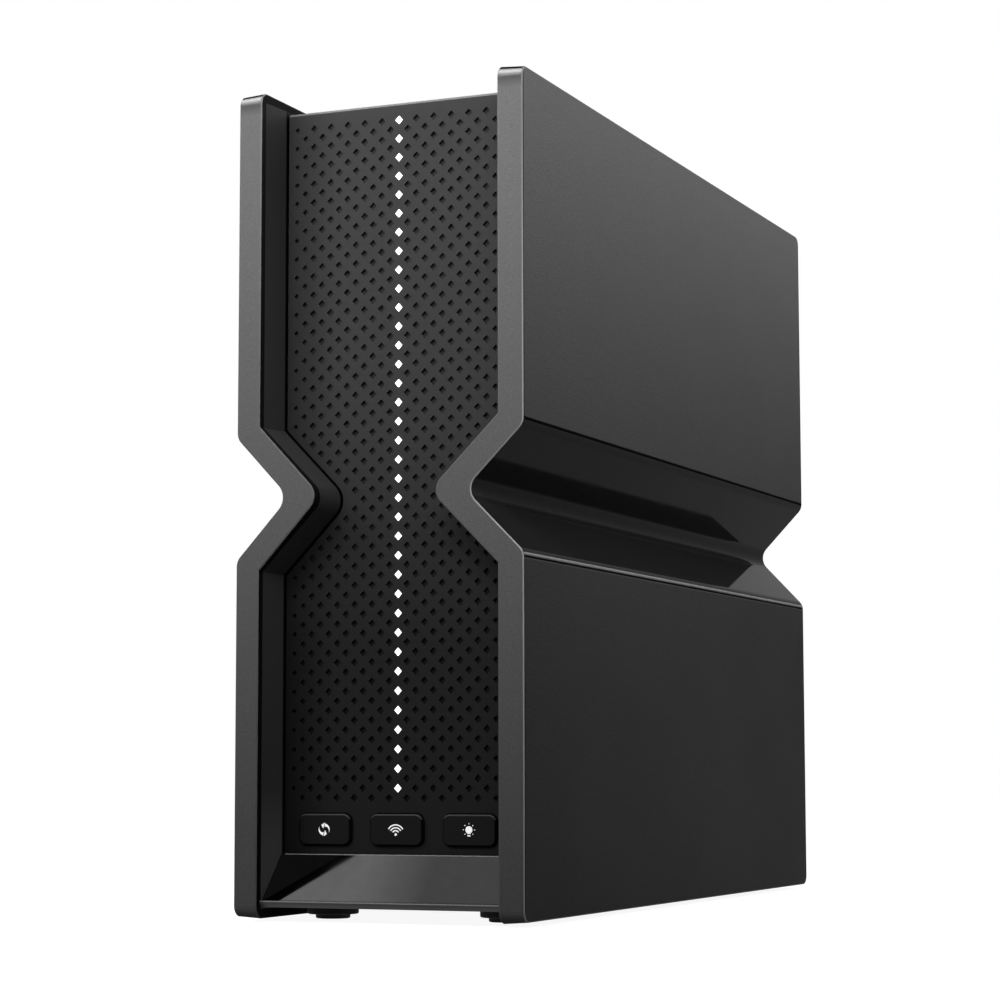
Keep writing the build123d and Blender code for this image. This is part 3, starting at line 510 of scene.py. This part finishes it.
boardLook = {"colour": (0.012, 0.05, 0.028), "track": (0.03, 0.11, 0.06), "pitch": 3.0, "trackWidth": 0.03,
             "trackDepth": 0.03, "patchShade": 0.2, "weave": 0.4, "rough": 0.35, "roughVar": 0.07}
# the icon ink glows: a painted glow that brightens the print
inkGlowLook = {"colour": grey(0.66), "haze": 0.05, "grain": 0.25, "strength": 0.4, "rough": 0.5}
lensLook = {"colour": (0.97, 0.98, 1.0), "haze": 0.05, "grain": 0.8, "strength": 1.25, "rough": 0.25,
            "first": lightTop / mm, "pitch": lightPitch / mm, "full": 0.95, "edge": 1.35, "squash": 0.88,
            "unlit": grey(0.01)}

finishes = {
    "shell_satin": mouldedFinish("shellSatin", shellLook),
    "groove_gloss": mouldedFinish("grooveGloss", grooveLook),
    "liner_plastic": mouldedFinish("linerPlastic", linerLook),
    "fascia_plastic": mouldedFinish("fasciaPlastic", fasciaLook),
    "sill_gloss": mouldedFinish("sillGloss", sillLook),
    "base_plastic": mouldedFinish("basePlastic", baseLook),
    "button_plastic": mouldedFinish("buttonPlastic", buttonLook),
    "foot_rubber": mouldedFinish("footRubber", rubberLook),
    "connector_plastic": mouldedFinish("connectorPlastic", connectorLook),
    "frame_plastic": mouldedFinish("framePlastic", frameLook),
    "pad_silicone": mouldedFinish("padSilicone", padLook),
    "insulator_white": mouldedFinish("insulatorWhite", whiteLook),
    "screw_steel": brushedFinish("screwSteel", steelLook),
    "shield_metal": brushedFinish("shieldMetal", shieldLook),
    "sink_aluminium": brushedFinish("sinkAluminium", sinkLook),
    "connector_nickel": brushedFinish("connectorNickel", nickelLook),
    "board_laminate": boardFinish("boardLaminate", boardLook),
    "light_lens": lampFinish("lightLens", lensLook),
}
iconGlowFinish = lampFinish("iconInk", inkGlowLook)
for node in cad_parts.values():
    for holder in node.material_slots:
        holder.material = finishes[holder.material.name]
print("stage: finishes made and given to the frame")


# Front fascia: the dimpled cover with its light windows and button openings

# waistSetback: how far along each edge the waist's rounding starts, as a share of its radius
# columns: half pitches out from the lights on each side; edgePits: smaller pits in the outer ones
fasciaShape = {"waistHalf": 16.56, "waistBend": 23.344, "waistRadius": 6.8, "waistSetback": 0.975,
               "wall": 2.8, "skirt": 8.0, "skirtWall": 1.6, "topRadius": 1.3, "window": 2.8, "windowDepth": 4,
               "columns": 12, "pit": 2.55, "edgePits": {11: 2.15, 12: 1.8}, "pitDepth": 1.1, "pitMargin": 1.6}
buttonShape = {"width": 17.8, "height": 9.7, "corner": 2.3, "gap": 0.35, "cutDepth": 8}
roundSteps = {"waist": 8, "top": 5, "opening": 6}  # faces in each rounding


def fasciaHalfWidth(z, half):
    share = min(abs(z - waist) / (fasciaShape["waistBend"] * mm), 1)
    return fasciaShape["waistHalf"] * mm * (1 - share) + half * share


def diamondCutter(name, diagonal, depth, at):
    letGo()
    side = diagonal / math.sqrt(2) * mm
    bpy.ops.mesh.primitive_cube_add(
        size=1, location=at, rotation=(0, math.pi / 4, 0), scale=(side, 2 * depth * mm, side)
    )
    return named(name)


def repeatUp(piece, name, count, step):
    rows = piece.modifiers.new(name, "ARRAY")
    rows.use_relative_offset = False
    rows.use_constant_offset = True
    rows.constant_offset_displace = (0, 0, step)
    rows.count = count


def stackDown(piece, count, pitch):
    settle(piece)
    repeatUp(piece, "rows", count, -pitch)
    applyAll(piece)
    return piece


def columnStart(column):  # every other column stands half a pitch lower
    return lightTop - (lightPitch / 2 if column % 2 else 0)


def makePitCutters(front, half):
    shape = fasciaShape
    columns = []
    for column in range(1, shape["columns"] + 1):
        diagonal = shape["edgePits"].get(column, shape["pit"])
        for side in (-1, 1):
            at = (side * column * lightPitch / 2, front, columnStart(column))
            pits = diamondCutter("pitCutters", diagonal, shape["pitDepth"], at)
            columns.append(stackDown(pits, lightColumn["count"], lightPitch))
    pits = takeUp(*columns)
    bpy.ops.object.join()

    def outside(point):
        column = round(point.x / (lightPitch / 2))
        start = columnStart(column)
        height = start - round((start - point.z) / lightPitch) * lightPitch
        return fasciaHalfWidth(height, half) - abs(column) * lightPitch / 2 < shape["pitMargin"] * mm

    editPicked(pits, "VERT", outside)
    bpy.ops.mesh.delete(type="VERT")
    doneEditing()
    return pits


def makePlate(low, high):
    shape = fasciaShape
    bend = shape["waistBend"] * mm
    letGo()
    bpy.ops.mesh.primitive_plane_add(size=1, rotation=(math.pi / 2, 0, 0))
    plate = named("fasciaPlate")
    plate.scale = (2 * high.x, waist - bend - low.z, 1)
    plate.location = (0, low.y, (waist - bend + low.z) / 2)
    settle(plate)
    editPicked(plate, "EDGE", lambda a, b: min(a.z, b.z) > waist - bend - mm)
    narrow = shape["waistHalf"] * mm / high.x
    for rise, width in ((bend, narrow), (bend, 1 / narrow), (high.z - waist - bend, 1)):
        bpy.ops.mesh.extrude_region_move(TRANSFORM_OT_translate={"value": (0, 0, rise)})
        bpy.ops.transform.resize(value=(width, 1, 1), center_override=(0, low.y, waist))
    bpy.ops.mesh.select_all(action="SELECT")
    bpy.ops.mesh.dissolve_faces()
    doneEditing()
    editPicked(plate, "VERT", lambda v: abs(v.z - waist) < mm)
    setback = shape["waistRadius"] * shape["waistSetback"] * mm
    bpy.ops.mesh.bevel(offset=setback, segments=roundSteps["waist"], affect="VERTICES")
    bpy.ops.mesh.select_all(action="SELECT")
    bpy.ops.mesh.extrude_region_move(TRANSFORM_OT_translate={"value": (0, shape["skirt"] * mm, 0)})
    bpy.ops.mesh.inset(thickness=shape["skirtWall"] * mm)
    bpy.ops.transform.translate(value=(0, (shape["wall"] - shape["skirt"]) * mm, 0))
    bpy.ops.mesh.select_all(action="SELECT")
    bpy.ops.mesh.normals_make_consistent(inside=False)
    doneEditing()

    def atFrontTop(a, b):
        return min(a.z, b.z) > high.z - mm / 10 and max(a.y, b.y) < low.y + mm / 10

    editPicked(plate, "EDGE", atFrontTop)
    bpy.ops.mesh.bevel(offset=shape["topRadius"] * mm, segments=roundSteps["top"])
    doneEditing()
    return plate


def openingCutter(key, front):
    keyLow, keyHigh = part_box(key)
    gap = 2 * buttonShape["gap"]
    letGo()
    bpy.ops.mesh.primitive_cube_add(
        size=1, location=((keyLow.x + keyHigh.x) / 2, front, (keyLow.z + keyHigh.z) / 2)
    )
    opening = named("openingCutter")
    width, height = (buttonShape["width"] + gap) * mm, (buttonShape["height"] + gap) * mm
    opening.scale = (width, buttonShape["cutDepth"] * mm, height)
    settle(opening)
    editPicked(opening, "EDGE", lambda a, b: abs(a.y - b.y) > mm)
    corner = (buttonShape["corner"] + buttonShape["gap"]) * mm
    bpy.ops.mesh.bevel(offset=corner, segments=roundSteps["opening"])
    doneEditing()
    return opening


def makeFascia():
    low, high = fasciaBox
    plate = makePlate(low, high)
    cutters = [makePitCutters(low.y, high.x)]
    shape = fasciaShape
    windows = diamondCutter("windowCutters", shape["window"], shape["windowDepth"], (0, low.y, lightTop))
    cutters.append(stackDown(windows, lightColumn["count"], lightPitch))
    for key in ("pairing_button", "wireless_button", "light_button"):
        cutters.append(openingCutter(key, low.y))
    for cutter in cutters:
        cut = plate.modifiers.new(cutter.name, "BOOLEAN")
        cut.object = cutter
        cut.solver = "EXACT"
    applyAll(plate)
    for cutter in cutters:
        bpy.data.objects.remove(cutter)
    takeUp(plate)
    bpy.ops.object.shade_smooth_by_angle(angle=math.radians(30))
    plate.data.materials.clear()
    plate.data.materials.append(finishes["fascia_plastic"])
    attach(plate, "housing")
    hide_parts("front_fascia")
    print("stage: fascia cut,", len(plate.data.polygons), "faces")


makeFascia()


# Bead: a light strip laid in as a painted highlight, the fine bright line where the sill's head meets the
# fascia

# lead: how far the sill's ledge stands ahead of the fascia
# drop, jut: its middle below the sill's top and ahead of the ledge, as shares of its height and depth
bead = {"tall": 0.35, "deep": 0.3, "endGap": 1.0, "lead": 1.4, "drop": 0.6, "jut": 0.25, "edge": 0.08}


def makeHighlightBead():
    low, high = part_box("sill_plate")
    wide = fasciaBox[1].x - bead["endGap"] * mm
    front = (fasciaFront - bead["lead"]) * mm
    letGo()
    bpy.ops.mesh.primitive_cube_add(
        size=1,
        location=(0, front - bead["deep"] * bead["jut"] * mm, high.z - bead["tall"] * bead["drop"] * mm),
        scale=(2 * wide, bead["deep"] * mm, bead["tall"] * mm),
    )
    line = named("sillBead")
    settle(line)
    editPicked(line, "EDGE", lambda a, b: abs(a.x - b.x) > mm)
    bpy.ops.mesh.bevel(offset=bead["edge"] * mm, segments=2)
    doneEditing()
    line.data.materials.append(mouldedFinish("beadSatin", beadHighlightLook))
    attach(line, "housing")
    print("stage: bead laid")


makeHighlightBead()


# Jack contacts: eight gilt wires in each network jack

contacts = {"wires": 8, "spacing": 1.02, "wide": 0.45, "thick": 0.35, "long": 7.0, "edge": 0.08, "tilt": -6,
            "inset": 1.2, "lift": 0.5, "jacks": 4, "blockWall": 1.5, "openingReach": 8.4}


def makeContacts():
    shape = contacts
    low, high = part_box("ethernet_jacks")
    pitch = (high.z - low.z - shape["blockWall"] * mm) / shape["jacks"]
    first = low.z + shape["blockWall"] / 2 * mm + pitch / 2 - (shape["wires"] - 1) / 2 * shape["spacing"] * mm
    side = (low.x + high.x) / 2 - (shape["openingReach"] / 2 - shape["lift"]) * mm
    letGo()
    bpy.ops.mesh.primitive_cube_add(
        size=1,
        location=(side, high.y - (shape["inset"] + shape["long"] / 2) * mm, first),
        rotation=(0, 0, math.radians(shape["tilt"])),
        scale=(shape["thick"] * mm, shape["long"] * mm, shape["wide"] * mm),
    )
    wires = named("jackContacts")
    settle(wires)
    editPicked(wires, "EDGE", lambda a, b: abs(a.y - b.y) > mm)
    bpy.ops.mesh.bevel(offset=shape["edge"] * mm, segments=2)
    doneEditing()
    repeatUp(wires, "wires", shape["wires"], shape["spacing"] * mm)
    repeatUp(wires, "jacks", shape["jacks"], pitch)
    applyAll(wires)
    wires.data.materials.append(brushedFinish("contactGilt", giltLook))
    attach(wires, "housing")
    print("stage: jack contacts laid")


makeContacts()


# Screw crosses: flat dark films, painted shade in place of the driver recesses of the two rear screws

cross = {"long": 3.4, "wide": 0.8, "thick": 0.06, "headRadius": 2.8}


def makeCrosses():
    low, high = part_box("rear_screws")
    middleX = (low.x + high.x) / 2
    radius = cross["headRadius"] * mm
    blades = []
    for height in (low.z + radius, high.z - radius):
        for wide, tall in ((cross["long"], cross["wide"]), (cross["wide"], cross["long"])):
            letGo()
            bpy.ops.mesh.primitive_cube_add(
                size=1, location=(middleX, high.y, height), scale=(wide * mm, cross["thick"] * mm, tall * mm)
            )
            blades.append(named("blade"))
    takeUp(*blades)
    bpy.ops.object.join()
    recess = named("screwCrosses")
    settle(recess)
    recess.data.materials.append(mouldedFinish("recessShadow", recessShadowLook))
    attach(recess, "housing")
    print("stage: screw crosses marked")


makeCrosses()


# Button icons: printed marks that ride with their keys, with a painted glow that brightens the ink

iconInk = {"thick": 0.03, "lift": 0.01, "arcStep": 8, "hornSteps": 9, "blunt": 0.2}  # arcStep in degrees
pairingMark = {"outer": 1.9, "wide": 1.05, "start": 80, "sweep": -108, "headAt": 106, "headReach": 1.3,
               "headSize": 1.15, "headTurn": 76, "headSquash": 0.57}
wirelessMark = {"drop": 1.4, "radii": (1.2, 2.08, 2.96), "stroke": 0.38, "start": 34, "sweep": 112,
                "dot": 0.4}
lightMark = {"lift": 0.2, "bulb": 1.15, "neckAt": 1.0, "neck": (1.1, 0.5), "footAt": 1.8, "foot": (1.0, 0.4),
             "rayAt": 1.85, "ray": (0.42, 0.18), "rayAngles": range(-45, 226, 45)}
down = 270  # angles run from the right, round by the top


def iconArc(centre, radius, stroke, start, sweep):
    letGo()
    bpy.ops.mesh.primitive_plane_add(size=1, location=(radius * mm, 0, 0), rotation=(math.pi / 2, 0, 0))
    arc = named("iconPart")
    arc.scale = (stroke * mm, stroke * mm, 1)
    settle(arc)
    editPicked(arc, "VERT", lambda v: v.z < 0)
    bpy.ops.mesh.delete(type="VERT")
    bpy.ops.mesh.select_all(action="SELECT")
    bpy.ops.transform.translate(value=(0, 0, -stroke * mm / 2))
    steps = round(abs(sweep) / iconInk["arcStep"])
    bpy.ops.mesh.spin(steps=steps, angle=math.radians(sweep), center=(0, 0, 0), axis=(0, 1, 0))
    doneEditing()
    arc.rotation_euler = (0, -math.radians(start), 0)
    arc.location = centre
    settle(arc)
    return arc


def iconHorn(centre, outer, wide, start, sweep):
    steps = iconInk["hornSteps"]
    blunt = iconInk["blunt"]
    letGo()
    bpy.ops.mesh.primitive_plane_add(size=1, rotation=(math.pi / 2, 0, 0))
    horn = named("iconPart")
    horn.scale = (wide * mm, wide * mm, 1)
    settle(horn)
    editPicked(horn, "VERT", lambda v: v.z < 0)
    bpy.ops.mesh.delete(type="VERT")
    bpy.ops.mesh.select_all(action="SELECT")
    bpy.ops.transform.translate(value=((outer - wide / 2) * mm, 0, -wide * mm / 2))
    turn = math.radians(sweep) / steps
    for step in range(steps):
        bpy.ops.mesh.extrude_region_move(TRANSFORM_OT_translate={"value": (0, 0, 0)})
        bpy.ops.transform.rotate(value=turn, orient_axis="Y", orient_type="GLOBAL", center_override=(0, 0, 0))
        reach = turn * (step + 1)
        tip = (outer * mm * math.cos(reach), 0, outer * mm * math.sin(reach))
        left = steps - step
        share = (left - 1 + blunt) / (left + blunt)
        bpy.ops.transform.resize(value=(share, share, share), center_override=tip)
    doneEditing()
    horn.rotation_euler = (0, -math.radians(start), 0)
    horn.location = centre
    settle(horn)
    return horn


def iconDisc(centre, radius, corners=24, turn=0, squash=1):
    letGo()
    bpy.ops.mesh.primitive_circle_add(
        vertices=corners, radius=radius * mm, fill_type="NGON", rotation=(math.pi / 2, 0, 0)
    )
    disc = named("iconPart")
    settle(disc)
    disc.scale = (1, 1, squash)
    disc.rotation_euler = (0, -math.radians(turn), 0)
    disc.location = centre
    settle(disc)
    return disc


def iconBar(centre, width, height, turn=0):
    letGo()
    bpy.ops.mesh.primitive_plane_add(size=1, rotation=(math.pi / 2, 0, 0))
    bar = named("iconPart")
    settle(bar)
    bar.scale = (width * mm, 1, height * mm)
    bar.rotation_euler = (0, -math.radians(turn), 0)
    bar.location = centre
    settle(bar)
    return bar


def around(centre, radius, angle):
    turn = math.radians(angle)
    return centre + Vector((radius * mm * math.cos(turn), 0, radius * mm * math.sin(turn)))


def finishIcon(name, parts, body):
    icon = takeUp(*parts)
    bpy.ops.object.join()
    icon.name = icon.data.name = name
    film = icon.modifiers.new("film", "SOLIDIFY")
    film.thickness = iconInk["thick"] * mm
    film.offset = 0
    applyAll(icon)
    editPicked(icon, "FACE", lambda centre, normal: True)
    bpy.ops.mesh.normals_make_consistent(inside=False)
    doneEditing()
    icon.data.materials.clear()
    icon.data.materials.append(iconGlowFinish)
    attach(icon, body)


def makeIcons():
    marks = {}
    for key in ("pairing_button", "wireless_button", "light_button"):
        low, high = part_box(key)
        marks[key] = Vector(((low.x + high.x) / 2, low.y - iconInk["lift"] * mm, (low.z + high.z) / 2))

    shape = pairingMark
    centre = marks["pairing_button"]
    arrows = []
    for half in (0, 180):
        head = around(centre, shape["headReach"], half + shape["headAt"])
        arrows.append(iconHorn(centre, shape["outer"], shape["wide"], half + shape["start"], shape["sweep"]))
        arrows.append(iconDisc(head, shape["headSize"], 3, half + shape["headTurn"], shape["headSquash"]))
    finishIcon("pairingIcon", arrows, "pairing_key")

    shape = wirelessMark
    centre = marks["wireless_button"] - Vector((0, 0, shape["drop"] * mm))
    waves = []
    for radius in shape["radii"]:
        waves.append(iconArc(centre, radius, shape["stroke"], shape["start"], shape["sweep"]))
    finishIcon("wirelessIcon", waves + [iconDisc(centre, shape["dot"])], "wireless_key")

    shape = lightMark
    centre = marks["light_button"] + Vector((0, 0, shape["lift"] * mm))
    bulb = [iconDisc(centre, shape["bulb"])]
    bulb.append(iconBar(around(centre, shape["neckAt"], down), *shape["neck"]))
    bulb.append(iconBar(around(centre, shape["footAt"], down), *shape["foot"]))
    for angle in shape["rayAngles"]:
        bulb.append(iconBar(around(centre, shape["rayAt"], angle), *shape["ray"], angle))
    finishIcon("lightIcon", bulb, "light_key")
    print("stage: icons printed")


makeIcons()


# Room, lamps and camera

room = {"floorSize": 8, "floorColour": grey(0.4), "floorRough": 0.9, "floorSpecular": 0.1, "floorGlow": 0.92,
        "floorShade": grey(0.3), "fadeOut": (0.25, 0.7), "fill": 0.0}  # fadeOut: where the glow rises to white
# Softboxes: a small spread is a grid over the box, so that its light falls off down the sides
lamps = {
    "frontHigh": {"at": (0.0, -0.60, 0.45), "aim": (0.0, -0.14, 0.30), "size": (0.5, 0.15),
                  "spread": 60, "watts": 1.2},
    "frontLeft": {"at": (-0.45, -0.60, 0.55), "aim": (0.0, -0.14, 0.22), "size": (0.3, 0.3),
                  "spread": 180, "watts": 3.85},
    "frontRight": {"at": (0.30, -0.60, 0.45), "aim": (0.02, -0.14, 0.30), "size": (0.4, 0.15),
                   "spread": 60, "watts": 0.62},
    "rightSide": {"at": (0.70, 0.0, 0.42), "aim": (0.05, 0.0, 0.42), "size": (1.1, 0.2),
                  "spread": 44, "watts": 3.6},
    "leftSide": {"at": (-0.70, 0.0, 0.42), "aim": (-0.05, 0.0, 0.42), "size": (1.1, 0.2),
                 "spread": 44, "watts": 3.6},
    "backHigh": {"at": (0.0, 0.60, 0.45), "aim": (0.0, 0.14, 0.30), "size": (0.5, 0.15),
                 "spread": 90, "watts": 1.3},
}
lens = {"focal": 95.232, "sensor": 36, "nearest": 0.01,
        "at": (0.35313, -0.87769, 0.04702), "turn": (95.812, 0.111, 23.095)}


def seenWhite(tree):
    path = tree.nodes.new("ShaderNodeLightPath")
    total = path.outputs["Is Camera Ray"]
    for other in ("Is Glossy Ray", "Is Transmission Ray"):
        either = tree.nodes.new("ShaderNodeMath")
        either.operation = "MAXIMUM"
        tree.links.new(total, either.inputs[0])
        tree.links.new(path.outputs[other], either.inputs[1])
        total = either.outputs[0]
    return total


def makeFloor():
    letGo()
    bpy.ops.mesh.primitive_plane_add(size=room["floorSize"], location=(0, 0, 0))
    floor = named("studioFloor")
    finish, nodes, links, shader = startFinish("floorPaper")
    shader.inputs["Base Color"].default_value = (*room["floorColour"], 1)
    shader.inputs["Roughness"].default_value = room["floorRough"]
    shader.inputs["Specular IOR Level"].default_value = room["floorSpecular"]
    shade = nodes.new("ShaderNodeBsdfDiffuse")
    shade.inputs["Color"].default_value = (*room["floorShade"], 1)
    glow = nodes.new("ShaderNodeEmission")
    away = nodes.new("ShaderNodeVectorMath")
    away.operation = "LENGTH"
    links.new(place(nodes, links), away.inputs[0])
    fade = spread(nodes, links, away.outputs["Value"], room["floorGlow"], 1, *room["fadeOut"])
    links.new(fade, glow.inputs["Strength"])
    both = nodes.new("ShaderNodeAddShader")
    links.new(shade.outputs[0], both.inputs[0])
    links.new(glow.outputs[0], both.inputs[1])
    choose = nodes.new("ShaderNodeMixShader")
    links.new(seenWhite(finish.node_tree), choose.inputs[0])
    links.new(shader.outputs[0], choose.inputs[1])
    links.new(both.outputs[0], choose.inputs[2])
    links.new(choose.outputs[0], nodes["Material Output"].inputs["Surface"])
    floor.data.materials.append(finish)


def makeWorld():
    world = bpy.data.worlds.new("studioAir")
    bpy.context.scene.world = world
    world.use_nodes = True
    nodes, links = world.node_tree.nodes, world.node_tree.links
    fill = nodes["Background"]
    fill.inputs["Color"].default_value = (1, 1, 1, 1)
    fill.inputs["Strength"].default_value = room["fill"]
    seen = nodes.new("ShaderNodeBackground")
    seen.inputs["Color"].default_value = (1, 1, 1, 1)
    choose = nodes.new("ShaderNodeMixShader")
    links.new(seenWhite(world.node_tree), choose.inputs[0])
    links.new(fill.outputs[0], choose.inputs[1])
    links.new(seen.outputs[0], choose.inputs[2])
    links.new(choose.outputs[0], nodes["World Output"].inputs["Surface"])


def makeLamps():
    for name, spec in lamps.items():
        data = bpy.data.lights.new(name, "AREA")
        data.shape = "RECTANGLE"
        data.size, data.size_y = spec["size"]
        data.energy = spec["watts"]
        data.spread = math.radians(spec["spread"])
        lamp = bpy.data.objects.new(name, data)
        bpy.context.scene.collection.objects.link(lamp)
        lamp.location = spec["at"]
        lamp.visible_glossy = False
        aim = Vector(spec["aim"]) - Vector(spec["at"])
        lamp.rotation_euler = aim.to_track_quat("-Z", "Y").to_euler()


def makeCamera():
    data = bpy.data.cameras.new("studioCamera")
    data.lens = lens["focal"]
    data.sensor_width = lens["sensor"]
    data.clip_start = lens["nearest"]
    camera = bpy.data.objects.new("studioCamera", data)
    bpy.context.scene.collection.objects.link(camera)
    camera.location = lens["at"]
    camera.rotation_euler = [math.radians(angle) for angle in lens["turn"]]
    bpy.context.scene.camera = camera


makeFloor()
makeWorld()
makeLamps()
makeCamera()
bpy.context.scene.view_settings.view_transform = "Standard"
print("stage: room, lamps and camera ready")
